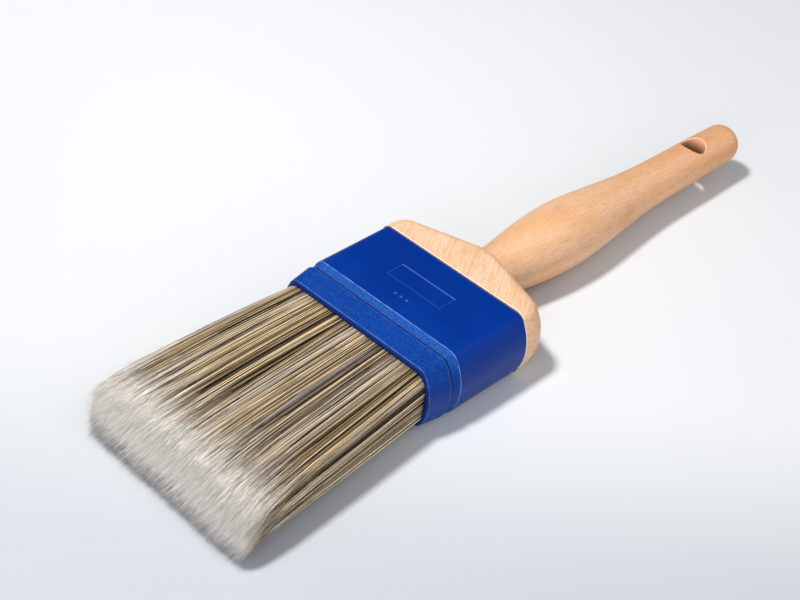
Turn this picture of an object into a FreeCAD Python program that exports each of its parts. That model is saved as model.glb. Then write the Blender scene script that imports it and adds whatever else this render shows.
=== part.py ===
# Flat paint brush with a round turned handle: parametric FreeCAD document.
# Millimetres. +X runs along the brush towards the handle's end, +Y across the
# width, +Z through the thickness. The brush lies on its broad side on Z = 0 and
# the origin is under the middle of its overall length and width.
import FreeCAD
import Part
import Sketcher
import math
import os

V = FreeCAD.Vector
C = Sketcher.Constraint
doc = FreeCAD.newDocument("flat_paint_brush")

# ---------------------------------------------------------------- dimensions
# Stations along the brush are measured from the rim, the plane where the
# ferrule's back edge meets the shoulder block. "reach" is towards the tips.
SIZES = [
    ("rim_x", -15.7, "rim plane in the frame"),
    ("mid_z", 12.85, "centre plane above the rest plane"),
    # ferrule, outside
    ("rim_width", 70.6, "ferrule width at the rim"),
    ("rim_thick", 24.8, "ferrule thickness at the rim"),
    ("rim_corner", 3.5, "ferrule corner radius at the rim"),
    ("front_reach", 31.5, "rim to the front edge of the plain body"),
    ("front_width", 71.0, "ferrule width at its front edge"),
    ("front_thick", 25.7, "ferrule thickness at its front edge"),
    ("front_corner", 4.5, "ferrule corner radius at its front edge"),
    ("slope_reach", 34.6, "rim to the foot of the sloped band"),
    ("slope_width", 68.6, "width at the foot of the sloped band"),
    ("slope_thick", 23.7, "thickness at the foot of the sloped band"),
    ("slope_corner", 4.0, "corner radius at the foot of the sloped band"),
    ("notch_reach", 35.4, "rim to the back of the collar"),
    ("collar_width", 70.7, "collar width at its back edge"),
    ("collar_thick", 25.3, "collar thickness at its back edge"),
    ("collar_corner", 4.5, "collar corner radius at its back edge"),
    ("lip_reach", 45.0, "rim to the lip"),
    ("lip_width", 67.4, "collar width at the lip"),
    ("lip_thick", 23.6, "collar thickness at the lip"),
    ("lip_corner", 4.0, "collar corner radius at the lip"),
    ("side_round", 20.0, "radius of the ferrule's bulging narrow sides"),
    ("lip_round", 1.1, "rounding of the lip"),
    ("collar_round", 0.5, "rounding of the collar's back edge"),
    # ferrule, inside
    ("cavity_width", 66.4, "cavity width"),
    ("cavity_thick", 21.2, "cavity thickness"),
    ("cavity_corner", 7.2, "cavity corner radius"),
    ("cavity_reach", 33.0, "cavity depth, rim to the inner step"),
    ("mouth_width", 64.4, "mouth width"),
    ("mouth_thick", 20.4, "mouth thickness"),
    ("mouth_corner", 5.8, "mouth corner radius"),
    # raised frame and dots on the broad face
    ("panel_near", 11.2, "rim to the near bar of the raised frame"),
    ("panel_far", 19.0, "rim to the far bar of the raised frame"),
    ("panel_half", 12.2, "half length of the raised frame"),
    ("panel_line", 0.42, "bar width of the raised frame"),
    ("panel_top", 12.76, "top of the raised frame above the centre plane"),
    ("dot_reach", 24.4, "rim to the row of dots"),
    ("dot_pitch", 2.6, "pitch of the dots"),
    ("dot_radius", 0.55, "radius of a dot"),
    ("dot_top", 12.92, "top of the dots above the centre plane"),
    # shoulder block
    ("block_width", 70.2, "block width"),
    ("block_thick", 25.7, "block thickness"),
    ("block_side", 10.95, "rim to the sharp shoulder corner"),
    ("block_nose", 20.8, "rim to the nose face"),
    ("nose_half", 3.5, "half width of the nose before rounding"),
    ("shoulder_round", 9.9, "plan radius of the shoulder corners"),
    ("nose_round", 8.4, "plan radius of the nose corners"),
    ("bevel_flat", 3.4, "block edge bevel, measured on the broad faces"),
    ("bevel_side", 8.7, "block edge bevel, measured on the narrow sides"),
    ("bulge_round", 19.5, "rounding between the bevel and the narrow sides"),
    ("crease_round", 4.0, "rounding between the bevel and the broad faces"),
    ("tongue_width", 66.3, "tongue width"),
    ("tongue_thick", 21.1, "tongue thickness"),
    ("tongue_corner", 7.1, "tongue corner radius"),
    ("tongue_reach", 14.0, "tongue length"),
    ("socket_radius", 6.05, "socket radius"),
    ("seat_radius", 9.5, "seat of the handle's neck in the nose"),
    ("socket_depth", 26.6, "socket depth from the nose"),
    # handle: stations from the rim
    ("tenon_radius", 6.0, "tenon radius"),
    ("tenon_length", 23.2, "tenon length"),
    ("neck_at", 19.2, "rim to the neck end"),
    ("neck_round", 0.8, "rounding of the neck end"),
    ("end_at", 158.0, "rim to the handle's end"),
    ("end_round", 6.2, "rounding of the handle's end"),
    # handle's turned profile: control points, station from the rim and radius
    ("turn_a_at", 20.0, "control point station"), ("turn_a_rad", 9.4, "control point radius"),
    ("turn_b_at", 26.15, "control point station"), ("turn_b_rad", 9.42, "control point radius"),
    ("turn_c_at", 34.84, "control point station"), ("turn_c_rad", 10.87, "control point radius"),
    ("turn_d_at", 47.88, "control point station"), ("turn_d_rad", 12.43, "control point radius"),
    ("turn_e_at", 60.92, "control point station"), ("turn_e_rad", 12.59, "control point radius"),
    ("turn_f_at", 73.96, "control point station"), ("turn_f_rad", 11.33, "control point radius"),
    ("turn_g_at", 87.0, "control point station"), ("turn_g_rad", 9.7, "control point radius"),
    ("turn_i_at", 100.04, "control point station"), ("turn_i_rad", 8.51, "control point radius"),
    ("turn_j_at", 113.08, "control point station"), ("turn_j_rad", 8.1, "control point radius"),
    ("turn_k_at", 126.12, "control point station"), ("turn_k_rad", 8.01, "control point radius"),
    ("turn_l_at", 139.16, "control point station"), ("turn_l_rad", 7.8, "control point radius"),
    ("turn_n_at", 147.85, "control point station"), ("turn_n_rad", 7.58, "control point radius"),
    ("turn_p_at", 151.8, "control point station"), ("turn_p_rad", 7.5, "control point radius"),
    ("hang_at", 133.6, "rim to the hanging hole"),
    ("hang_radius", 4.6, "hanging hole radius"),
    ("hang_ease", 0.45, "easing of the hanging hole's rims"),
    # setting and bristle pack inside the ferrule
    ("resin_front", 26.0, "rim to the front of the setting"),
    ("root_reach", 17.0, "rim to the root ends"),
    ("pack_width", 64.0, "width of the bristle pack at the mouth"),
    ("pack_half", 10.0, "half thickness of the bristle pack at the mouth"),
    ("pack_thick", 20.0, "thickness of the bristle pack at the mouth"),
    ("pack_corner", 5.6, "corner radius of the bristle pack"),
    ("row_inner", 2.7, "half thickness of the middle row between the strips"),
    ("strip_outer", 4.6, "outer face of a spacer strip above the centre plane"),
    ("strip_reach", 36.0, "rim to the front edge of the spacer strips"),
    ("merge_reach", 37.5, "rim to where the rows close up"),
    ("row_split", 3.33, "plane between the rows at the mouth"),
    ("wedge_split", 47.96, "rim to the wedge face at the row planes"),
    ("wedge_outer", 44.78, "rim to the wedge face at the pack's surface"),
    ("wedge_tip", 49.55, "rim to the wedge edge"),
    # bristles outside the mouth
    ("bend_reach", 49.9, "rim to the bend axis"),
    ("tip_reach", 126.6, "rim to the bristle tips"),
    ("tip_width", 76.4, "width of the bristle pack at the tips"),
    ("tip_upper", 5.6, "upper face at the tips above the centre plane"),
    ("tip_lower", 8.0, "lower face at the tips below the centre plane"),
    ("tip_split_up", 1.1, "upper row plane at the tips above the centre plane"),
    ("tip_split_low", 3.5, "lower row plane at the tips below the centre plane"),
    ("tip_corner", 4.0, "corner radius of the bristle pack at the tips"),
]
sheet = doc.addObject("Spreadsheet::Sheet", "Dim")
size = {}
for row, (alias, value, note) in enumerate(SIZES, start=1):
    sheet.set("A%d" % row, alias.replace("_", " "))
    sheet.set("B%d" % row, str(value))
    sheet.set("C%d" % row, note)
    sheet.setAlias("B%d" % row, alias)
    size[alias] = value
doc.recompute()


# ------------------------------------------------------------------- helpers
def plane(body, role):
    """The body's own origin plane with that role."""
    for feature in body.Origin.OriginFeatures:
        if feature.Role == role:
            return feature
    raise RuntimeError("no plane " + role)


def new_body(label):
    """A body whose local frame has the rim plane at X = 0 and the centre plane at Z = 0."""
    body = doc.addObject("PartDesign::Body", label)
    body.Label = label
    body.setExpression("Placement.Base.x", "Dim.rim_x")
    body.setExpression("Placement.Base.z", "Dim.mid_z")
    return body


def new_sketch(body, name, role, offset=None):
    """A sketch on one of the body's origin planes, moved along its normal by the expression offset."""
    sketch = body.newObject("Sketcher::SketchObject", name)
    sketch.AttachmentSupport = [(plane(body, role), "")]
    sketch.MapMode = "FlatFace"
    if offset:
        sketch.setExpression("AttachmentOffset.Base.z", offset)
    return sketch


def name_and_bind(sketch, index, name, expression):
    sketch.renameConstraint(index, name)
    sketch.setExpression("Constraints." + name, expression)


def rounded_rectangle(body, name, offset, width, thick, corner):
    """Section across the brush: width along Y, thickness along Z, four equal corners."""
    sketch = new_sketch(body, name, "YZ_Plane", offset)
    a, b, r = size[width] / 2, size[thick] / 2, size[corner]
    L, A = Part.LineSegment, Part.ArcOfCircle
    quarter = 1.5707963267948966

    def arc(cx, cy, start):
        return A(Part.Circle(V(cx, cy, 0), V(0, 0, 1), r), start, start + quarter)

    g = sketch.addGeometry([
        L(V(-a + r, b, 0), V(a - r, b, 0)),      # 0 top
        L(V(a, b - r, 0), V(a, -b + r, 0)),      # 1 right
        L(V(a - r, -b, 0), V(-a + r, -b, 0)),    # 2 bottom
        L(V(-a, -b + r, 0), V(-a, b - r, 0)),    # 3 left
        arc(a - r, b - r, 0.0),                  # 4 top right
        arc(-a + r, b - r, quarter),             # 5 top left
        arc(-a + r, -b + r, 2 * quarter),        # 6 bottom left
        arc(a - r, -b + r, 3 * quarter),         # 7 bottom right
    ], False)
    for line, end, arc_i, arc_end in ((0, 2, 4, 2), (1, 1, 4, 1), (0, 1, 5, 1), (3, 2, 5, 2),
                                      (2, 2, 6, 2), (3, 1, 6, 1), (2, 1, 7, 1), (1, 2, 7, 2)):
        sketch.addConstraint(C("Tangent", g[line], end, g[arc_i], arc_end))
    sketch.addConstraint(C("Horizontal", g[0]))
    sketch.addConstraint(C("Vertical", g[1]))
    sketch.addConstraint(C("Equal", g[4], g[5]))
    sketch.addConstraint(C("Equal", g[4], g[6]))
    sketch.addConstraint(C("Equal", g[4], g[7]))
    sketch.addConstraint(C("Symmetric", g[4], 3, g[6], 3, -1, 1))
    i = sketch.addConstraint(C("Radius", g[4], r))
    name_and_bind(sketch, i, "corner", "Dim." + corner)
    i = sketch.addConstraint(C("DistanceY", -1, 1, g[0], 2, b))
    name_and_bind(sketch, i, "half_thick", "Dim." + thick + " / 2")
    i = sketch.addConstraint(C("DistanceX", -1, 1, g[1], 1, a))
    name_and_bind(sketch, i, "half_width", "Dim." + width + " / 2")
    return sketch


def barrel(body, name, offset, width, thick, corner):
    """Section across the ferrule: flat broad faces, bulging narrow sides, four equal corners."""
    sketch = new_sketch(body, name, "YZ_Plane", offset)
    a, b, r, side = size[width] / 2, size[thick] / 2, size[corner], size["side_round"]
    middle = a - side
    rise = math.asin((b - r) / (side - r))
    w = middle + (side - r) * math.cos(rise)
    quarter = 1.5707963267948966
    L = Part.LineSegment

    def arc(cx, cy, radius, start, stop):
        return Part.ArcOfCircle(Part.Circle(V(cx, cy, 0), V(0, 0, 1), radius), start, stop)

    g = sketch.addGeometry([
        L(V(-w, b, 0), V(w, b, 0)),                                              # 0 top
        arc(middle, 0, side, -rise, rise),                                       # 1 right side
        L(V(w, -b, 0), V(-w, -b, 0)),                                            # 2 bottom
        arc(-middle, 0, side, 2 * quarter - rise, 2 * quarter + rise),           # 3 left side
        arc(w, b - r, r, rise, quarter),                                         # 4 top right
        arc(-w, b - r, r, quarter, 2 * quarter - rise),                          # 5 top left
        arc(-w, -b + r, r, 2 * quarter + rise, 3 * quarter),                     # 6 bottom left
        arc(w, -b + r, r, 3 * quarter, 4 * quarter - rise),                      # 7 bottom right
    ], False)
    for one, end, arc_i, arc_end in ((0, 2, 4, 2), (1, 2, 4, 1), (0, 1, 5, 1), (3, 1, 5, 2),
                                     (3, 2, 6, 1), (2, 2, 6, 2), (2, 1, 7, 1), (1, 1, 7, 2)):
        sketch.addConstraint(C("Tangent", g[one], end, g[arc_i], arc_end))
    sketch.addConstraint(C("Horizontal", g[0]))
    sketch.addConstraint(C("Horizontal", g[2]))
    sketch.addConstraint(C("PointOnObject", g[1], 3, -1))
    sketch.addConstraint(C("Symmetric", g[1], 3, g[3], 3, -1, 1))
    sketch.addConstraint(C("Equal", g[1], g[3]))
    sketch.addConstraint(C("Equal", g[4], g[5]))
    sketch.addConstraint(C("Equal", g[4], g[6]))
    sketch.addConstraint(C("Equal", g[4], g[7]))
    i = sketch.addConstraint(C("Radius", g[4], r))
    name_and_bind(sketch, i, "corner", "Dim." + corner)
    i = sketch.addConstraint(C("Radius", g[1], side))
    name_and_bind(sketch, i, "side", "Dim.side_round")
    i = sketch.addConstraint(C("DistanceY", -1, 1, g[0], 2, b))
    name_and_bind(sketch, i, "half_thick", "Dim." + thick + " / 2")
    i = sketch.addConstraint(C("DistanceX", -1, 1, g[1], 3, middle))
    name_and_bind(sketch, i, "side_middle", "Dim." + width + " / 2 - Dim.side_round")
    return sketch


def polygon(body, name, role, points, offset=None):
    """Closed outline. Each point is (x value, x expression, y value, y expression)."""
    sketch = new_sketch(body, name, role, offset)
    n = len(points)
    for k in range(n):
        p, q = points[k], points[(k + 1) % n]
        sketch.addGeometry(Part.LineSegment(V(p[0], p[2], 0), V(q[0], q[2], 0)), False)
    for k in range(n):
        sketch.addConstraint(C("Coincident", k, 2, (k + 1) % n, 1))
    for k, (x, ex, y, ey) in enumerate(points):
        for axis, value, expression in (("X", x, ex), ("Y", y, ey)):
            i = sketch.addConstraint(C("Distance" + axis, -1, 1, k, 1, value))
            name_and_bind(sketch, i, "p%d%s" % (k, axis.lower()), expression)
    return sketch


def circle(body, name, role, radius, offset=None, at=None):
    """One circle with a bound radius; at is an expression for its distance along the sketch's X."""
    sketch = new_sketch(body, name, role, offset)
    centre = V(size[at[1]] if at else 0, 0, 0)
    sketch.addGeometry(Part.Circle(centre, V(0, 0, 1), size[radius]), False)
    i = sketch.addConstraint(C("Radius", 0, size[radius]))
    name_and_bind(sketch, i, "radius", "Dim." + radius)
    if at:
        sketch.addConstraint(C("PointOnObject", 0, 3, -1))
        i = sketch.addConstraint(C("DistanceX", -1, 1, 0, 3, size[at[1]]))
        name_and_bind(sketch, i, "at", at[0])
    else:
        sketch.addConstraint(C("Coincident", 0, 3, -1, 1))
    return sketch


def loft(body, name, profile, sections, ruled):
    feature = body.newObject("PartDesign::AdditiveLoft", name)
    feature.Profile = profile
    feature.Sections = sections
    feature.Ruled = ruled
    body.Tip = feature
    doc.recompute()
    return feature


def pad(body, name, sketch, length, reverse=False, midplane=False):
    feature = body.newObject("PartDesign::Pad", name)
    feature.Profile = sketch
    feature.Type = 0
    feature.Length = 1
    feature.setExpression("Length", length)
    if midplane:
        feature.Midplane = True
    feature.Reversed = reverse
    body.Tip = feature
    doc.recompute()
    return feature


def pocket(body, name, sketch, length, reverse=False, midplane=False):
    before = body.Shape.Volume
    feature = body.newObject("PartDesign::Pocket", name)
    feature.Profile = sketch
    feature.Type = 0
    feature.Length = 1
    feature.setExpression("Length", length)
    if midplane:
        feature.Midplane = True
    feature.Reversed = reverse
    body.Tip = feature
    doc.recompute()
    if body.Shape.Volume >= before - 1e-6:
        raise RuntimeError(name + " cut nothing")
    return feature


def edges_where(feature, test):
    """Names of the feature's edges for which test(edge) holds."""
    return ["Edge%d" % i for i, e in enumerate(feature.Shape.Edges, start=1) if test(e)]


def dress(body, kind, name, base, names, prop, expression):
    """A fillet or chamfer on the named edges of base."""
    if not names:
        raise RuntimeError(name + " found no edges")
    feature = body.newObject("PartDesign::" + kind, name)
    feature.Base = (base, names)
    setattr(feature, prop, 0.1)
    feature.setExpression(prop, expression)
    body.Tip = feature
    doc.recompute()
    return feature


def near(value, target, tol=1e-3):
    return abs(value - target) < tol


# -------------------------------------------------------------------- handle
# One turned piece: round tenon, neck, belly, slim waist and rounded end, with a
# hanging hole drilled through the flat of the brush.
handle = new_body("handle")
turned = new_sketch(handle, "turned_profile", "XZ_Plane")
TAGS = "abcdefgijklnp"
poles = [V(size["turn_%s_at" % t], size["turn_%s_rad" % t], 0) for t in TAGS]
quarter = 1.5707963267948966
back, tenon_r = size["neck_at"] - size["tenon_length"], size["tenon_radius"]
neck_r, neck_f, end_r, end_f = size["turn_a_rad"], size["neck_round"], size["turn_p_rad"], size["end_round"]
turned.addGeometry(Part.LineSegment(V(back, 0, 0), V(back, tenon_r, 0)), False)                               # 0 tenon end
turned.addGeometry(Part.LineSegment(V(back, tenon_r, 0), V(size["neck_at"], tenon_r, 0)), False)              # 1 tenon side
turned.addGeometry(Part.LineSegment(V(size["neck_at"], tenon_r, 0), V(size["neck_at"], neck_r - neck_f, 0)), False)   # 2 neck face
turned.addGeometry(Part.ArcOfCircle(Part.Circle(V(size["turn_a_at"], neck_r - neck_f, 0), V(0, 0, 1), neck_f), quarter, 2 * quarter), False)  # 3
turned.addGeometry(Part.ArcOfCircle(Part.Circle(V(size["turn_p_at"], end_r - end_f, 0), V(0, 0, 1), end_f), 0, quarter), False)               # 4
turned.addGeometry(Part.LineSegment(V(size["end_at"], end_r - end_f, 0), V(size["end_at"], 0, 0)), False)     # 5 end face
turned.addGeometry(Part.LineSegment(V(size["end_at"], 0, 0), V(back, 0, 0)), False)                           # 6 axis
sweep = Part.BSplineCurve()
inner = len(poles) - 4
sweep.buildFromPolesMultsKnots(poles, [4] + [1] * inner + [4], [float(k) for k in range(inner + 2)], False, 3)
turned.addGeometry(sweep, False)                                                                              # 7 turned side
for k, pole in enumerate(poles):
    turned.addGeometry(Part.Circle(pole, V(0, 0, 1), 1), True)                                                # 8 onwards
    if k == 0:
        turned.addConstraint(C("Weight", 8, 1.0))
    else:
        turned.addConstraint(C("Equal", 8, 8 + k))
turned.addConstraint([C("InternalAlignment:Sketcher::BSplineControlPoint", 8 + k, 3, 7, k) for k in range(len(poles))])
turned.addConstraint(C("Coincident", 0, 2, 1, 1))
turned.addConstraint(C("Coincident", 1, 2, 2, 1))
turned.addConstraint(C("Tangent", 2, 2, 3, 2))
turned.addConstraint(C("Coincident", 3, 1, 7, 1))
turned.addConstraint(C("Coincident", 7, 2, 4, 2))
turned.addConstraint(C("Tangent", 4, 1, 5, 1))
turned.addConstraint(C("Coincident", 5, 2, 6, 1))
turned.addConstraint(C("Coincident", 6, 2, 0, 1))
turned.addConstraint(C("PointOnObject", 6, 1, -1))
turned.addConstraint(C("PointOnObject", 6, 2, -1))
turned.addConstraint(C("Vertical", 0))
turned.addConstraint(C("Horizontal", 1))
turned.addConstraint(C("Vertical", 2))
turned.addConstraint(C("Vertical", 5))
for k, t in enumerate(TAGS):
    i = turned.addConstraint(C("DistanceX", -1, 1, 8 + k, 3, poles[k].x))
    name_and_bind(turned, i, "at_" + t, "Dim.turn_%s_at" % t)
    i = turned.addConstraint(C("DistanceY", -1, 1, 8 + k, 3, poles[k].y))
    name_and_bind(turned, i, "rad_" + t, "Dim.turn_%s_rad" % t)
for index, kind, geo, pos, value, alias in (
        (0, "DistanceX", 2, 1, size["neck_at"], "neck_at"), (1, "DistanceY", 1, 1, tenon_r, "tenon_radius"),
        (2, "DistanceX", 5, 1, size["end_at"], "end_at")):
    i = turned.addConstraint(C(kind, -1, 1, geo, pos, value))
    name_and_bind(turned, i, "turned_%d" % index, "Dim." + alias)
i = turned.addConstraint(C("DistanceX", 1, 1, 1, 2, size["tenon_length"]))
name_and_bind(turned, i, "tenon", "Dim.tenon_length")
i = turned.addConstraint(C("Radius", 3, neck_f))
name_and_bind(turned, i, "neck_rounding", "Dim.neck_round")
i = turned.addConstraint(C("Radius", 4, end_f))
name_and_bind(turned, i, "end_rounding", "Dim.end_round")
turning = handle.newObject("PartDesign::Revolution", "turning")
turning.Profile = turned
turning.ReferenceAxis = (turned, ["H_Axis"])
turning.Angle = 360
handle.Tip = turning
doc.recompute()
hang_circle = circle(handle, "hang_circle", "XY_Plane", "hang_radius", None, ("Dim.hang_at", "hang_at"))
hang_hole = pocket(handle, "hanging_hole", hang_circle, "Dim.block_thick * 2", midplane=True)
rims = edges_where(hang_hole, lambda e: abs(e.BoundBox.Center.x - size["hang_at"]) < 1.0
                   and e.BoundBox.XLength > 1.8 * size["hang_radius"])
eased = dress(handle, "Fillet", "eased_rims", hang_hole, rims, "Radius", "Dim.hang_ease")

# ------------------------------------------------------------ shoulder block
# A board with its grain across the brush: sloped shoulders rounded over, a
# tongue that fills the back of the ferrule and a socket for the handle's tenon.
block = new_body("shoulder_block")
outline = polygon(block, "block_outline", "XY_Plane", [
    (1e-6, "0 mm + 0.000001 mm", size["block_width"] / 2, "Dim.block_width / 2"),
    (size["block_side"], "Dim.block_side", size["block_width"] / 2, "Dim.block_width / 2"),
    (size["block_nose"], "Dim.block_nose", size["nose_half"], "Dim.nose_half"),
    (size["block_nose"], "Dim.block_nose", -size["nose_half"], "-Dim.nose_half"),
    (size["block_side"], "Dim.block_side", -size["block_width"] / 2, "-Dim.block_width / 2"),
    (1e-6, "0 mm + 0.000001 mm", -size["block_width"] / 2, "-Dim.block_width / 2"),
])
board = pad(block, "board", outline, "Dim.block_thick", midplane=True)


def upright(x):
    return lambda e: near(e.BoundBox.XMin, x) and near(e.BoundBox.XMax, x) and e.BoundBox.ZLength > 20 and e.BoundBox.YLength < 0.01


corners = dress(block, "Fillet", "shoulder_corners", board, edges_where(board, upright(size["block_side"])), "Radius", "Dim.shoulder_round")
noses = dress(block, "Fillet", "nose_corners", corners, edges_where(corners, upright(size["block_nose"])), "Radius", "Dim.nose_round")
half = size["block_thick"] / 2


def flat_edges(feature, z):
    return edges_where(feature, lambda e: near(e.BoundBox.Center.z, z) and e.BoundBox.ZLength < 1e-3 and e.BoundBox.XMax > 0.01)


low_bevel = dress(block, "Chamfer", "low_bevel", noses, flat_edges(noses, -half), "Size", "Dim.bevel_flat")
low_bevel.ChamferType = "Two distances"
low_bevel.setExpression("Size2", "Dim.bevel_side")
doc.recompute()
top_bevel = dress(block, "Chamfer", "top_bevel", low_bevel, flat_edges(low_bevel, half), "Size", "Dim.bevel_flat")
top_bevel.ChamferType = "Two distances"
top_bevel.FlipDirection = True
top_bevel.setExpression("Size2", "Dim.bevel_side")
doc.recompute()
knee = half - size["bevel_side"]
bulged = dress(block, "Fillet", "bulged_sides", top_bevel, flat_edges(top_bevel, knee) + flat_edges(top_bevel, -knee), "Radius", "Dim.bulge_round")
creased = dress(block, "Fillet", "eased_creases", bulged, flat_edges(bulged, half) + flat_edges(bulged, -half), "Radius", "Dim.crease_round")
tongue_section = rounded_rectangle(block, "tongue_section", None, "tongue_width", "tongue_thick", "tongue_corner")
tongue = pad(block, "tongue", tongue_section, "Dim.tongue_reach", reverse=True)
socket_circle = circle(block, "socket_circle", "YZ_Plane", "socket_radius", "Dim.block_nose")
socket = pocket(block, "socket", socket_circle, "Dim.socket_depth")
seat_circle = circle(block, "seat_circle", "YZ_Plane", "seat_radius", "Dim.block_nose")
seat = pocket(block, "seat", seat_circle, "Dim.block_nose - Dim.neck_at")

# ------------------------------------------------------------------- ferrule
# One moulding: plain body, sloped band, notch and tapered collar with a rounded
# lip, hollow right through with a step inside the collar.
ferrule = new_body("ferrule")
rim = barrel(ferrule, "rim_section", None, "rim_width", "rim_thick", "rim_corner")
front = barrel(ferrule, "front_section", "-Dim.front_reach", "front_width", "front_thick", "front_corner")
sleeve = loft(ferrule, "sleeve", rim, [front], True)
front_b = barrel(ferrule, "front_section_b", "-Dim.front_reach", "front_width", "front_thick", "front_corner")
foot = barrel(ferrule, "foot_section", "-Dim.slope_reach", "slope_width", "slope_thick", "slope_corner")
band = loft(ferrule, "sloped_band", front_b, [foot], True)
foot_b = barrel(ferrule, "foot_section_b", "-Dim.slope_reach", "slope_width", "slope_thick", "slope_corner")
notch = pad(ferrule, "notch", foot_b, "Dim.notch_reach - Dim.slope_reach", reverse=True)
back = barrel(ferrule, "collar_back", "-Dim.notch_reach", "collar_width", "collar_thick", "collar_corner")
lip = barrel(ferrule, "lip_section", "-Dim.lip_reach", "lip_width", "lip_thick", "lip_corner")
collar = loft(ferrule, "collar", back, [lip], True)


def ring_at(x):
    return lambda e: near(e.BoundBox.XMin, x, 1e-3) and near(e.BoundBox.XMax, x, 1e-3)


lip_rounded = dress(ferrule, "Fillet", "lip_rounded", collar, edges_where(collar, ring_at(-size["lip_reach"])), "Radius", "Dim.lip_round")


def outer_back_edge(e):
    box = e.BoundBox
    return (near(box.XMin, -size["notch_reach"]) and near(box.XMax, -size["notch_reach"])
            and (max(abs(box.YMin), abs(box.YMax)) > size["slope_width"] / 2 + 0.1 or max(abs(box.ZMin), abs(box.ZMax)) > size["slope_thick"] / 2 + 0.1))


collar_rounded = dress(ferrule, "Fillet", "collar_rounded", lip_rounded, edges_where(lip_rounded, outer_back_edge), "Radius", "Dim.collar_round")
cavity_section = rounded_rectangle(ferrule, "cavity_section", None, "cavity_width", "cavity_thick", "cavity_corner")
cavity = pocket(ferrule, "cavity", cavity_section, "Dim.cavity_reach")
mouth_section = rounded_rectangle(ferrule, "mouth_section", None, "mouth_width", "mouth_thick", "mouth_corner")
mouth = pocket(ferrule, "mouth", mouth_section, "Dim.lip_reach + 2")

# Raised rectangular frame on the upper broad face, and three plain dots.
frame_sketch = new_sketch(ferrule, "frame_outline", "XY_Plane", "Dim.rim_thick / 2 - 0.8")
n0, n1, ph, pl = size["panel_near"], size["panel_far"], size["panel_half"], size["panel_line"]


def bound_rectangle(sketch, tag, x0, ex0, x1, ex1, yh, eyh):
    first = sketch.GeometryCount
    points = [(-x1, yh), (-x0, yh), (-x0, -yh), (-x1, -yh)]
    names = [("-(" + ex1 + ")", eyh), ("-(" + ex0 + ")", eyh), ("-(" + ex0 + ")", "-(" + eyh + ")"), ("-(" + ex1 + ")", "-(" + eyh + ")")]
    for k in range(4):
        p, q = points[k], points[(k + 1) % 4]
        sketch.addGeometry(Part.LineSegment(V(p[0], p[1], 0), V(q[0], q[1], 0)), False)
    for k in range(4):
        sketch.addConstraint(C("Coincident", first + k, 2, first + (k + 1) % 4, 1))
    for k in range(4):
        i = sketch.addConstraint(C("DistanceX", -1, 1, first + k, 1, points[k][0]))
        name_and_bind(sketch, i, "%s_x%d" % (tag, k), names[k][0])
        i = sketch.addConstraint(C("DistanceY", -1, 1, first + k, 1, points[k][1]))
        name_and_bind(sketch, i, "%s_y%d" % (tag, k), names[k][1])


bound_rectangle(frame_sketch, "outer", n0, "Dim.panel_near", n1, "Dim.panel_far", ph, "Dim.panel_half")
bound_rectangle(frame_sketch, "inner", n0 + pl, "Dim.panel_near + Dim.panel_line", n1 - pl, "Dim.panel_far - Dim.panel_line",
                ph - pl, "Dim.panel_half - Dim.panel_line")
raised_frame = pad(ferrule, "raised_frame", frame_sketch, "Dim.panel_top - (Dim.rim_thick / 2 - 0.8)")
dots_sketch = new_sketch(ferrule, "dot_circles", "XY_Plane", "Dim.rim_thick / 2 - 0.8")
for k, where in enumerate((-1, 0, 1)):
    dots_sketch.addGeometry(Part.Circle(V(-size["dot_reach"], where * size["dot_pitch"], 0), V(0, 0, 1), size["dot_radius"]), False)
    i = dots_sketch.addConstraint(C("Radius", k, size["dot_radius"]))
    name_and_bind(dots_sketch, i, "radius%d" % k, "Dim.dot_radius")
    i = dots_sketch.addConstraint(C("DistanceX", -1, 1, k, 3, -size["dot_reach"]))
    name_and_bind(dots_sketch, i, "reach%d" % k, "-Dim.dot_reach")
    if where:
        i = dots_sketch.addConstraint(C("DistanceY", -1, 1, k, 3, where * size["dot_pitch"]))
        name_and_bind(dots_sketch, i, "across%d" % k, "%sDim.dot_pitch" % ("-" if where < 0 else ""))
    else:
        dots_sketch.addConstraint(C("PointOnObject", k, 3, -1))
dots = pad(ferrule, "dots", dots_sketch, "Dim.dot_top - (Dim.rim_thick / 2 - 0.8)")

# --------------------------------------------------------------- resin heel
# The poured setting behind and around the bristle roots.
resin = new_body("resin_setting")
resin_section = rounded_rectangle(resin, "resin_section", "-Dim.tongue_reach", "tongue_width", "tongue_thick", "tongue_corner")
resin_block = pad(resin, "resin_block", resin_section, "Dim.resin_front - Dim.tongue_reach", reverse=True)
root_slot = rounded_rectangle(resin, "root_slot", "-Dim.root_reach", "pack_width", "pack_thick", "pack_corner")
resin_pocket = pocket(resin, "root_pocket", root_slot, "Dim.resin_front - Dim.root_reach + 1")

# ------------------------------------------------------------ spacer strips
# Two thin strips part the roots into three rows and leave a hollow for paint.
for label, sign in (("spacer_strip_upper", 1), ("spacer_strip_lower", -1)):
    s = "" if sign > 0 else "-"
    strip = new_body(label)
    strip_profile = polygon(strip, label + "_profile", "XZ_Plane", [
        (-size["root_reach"], "-Dim.root_reach", sign * size["row_inner"], s + "Dim.row_inner"),
        (-size["strip_reach"] + 0.6, "-Dim.strip_reach + 0.6", sign * size["row_inner"], s + "Dim.row_inner"),
        (-size["strip_reach"], "-Dim.strip_reach", sign * (size["row_inner"] + 0.6), s + "(Dim.row_inner + 0.6)"),
        (-size["strip_reach"], "-Dim.strip_reach", sign * (size["strip_outer"] - 0.6), s + "(Dim.strip_outer - 0.6)"),
        (-size["strip_reach"] + 0.6, "-Dim.strip_reach + 0.6", sign * size["strip_outer"], s + "Dim.strip_outer"),
        (-size["root_reach"], "-Dim.root_reach", sign * size["strip_outer"], s + "Dim.strip_outer"),
    ])
    pad(strip, label + "_pad", strip_profile, "Dim.pack_width", midplane=True)

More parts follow.
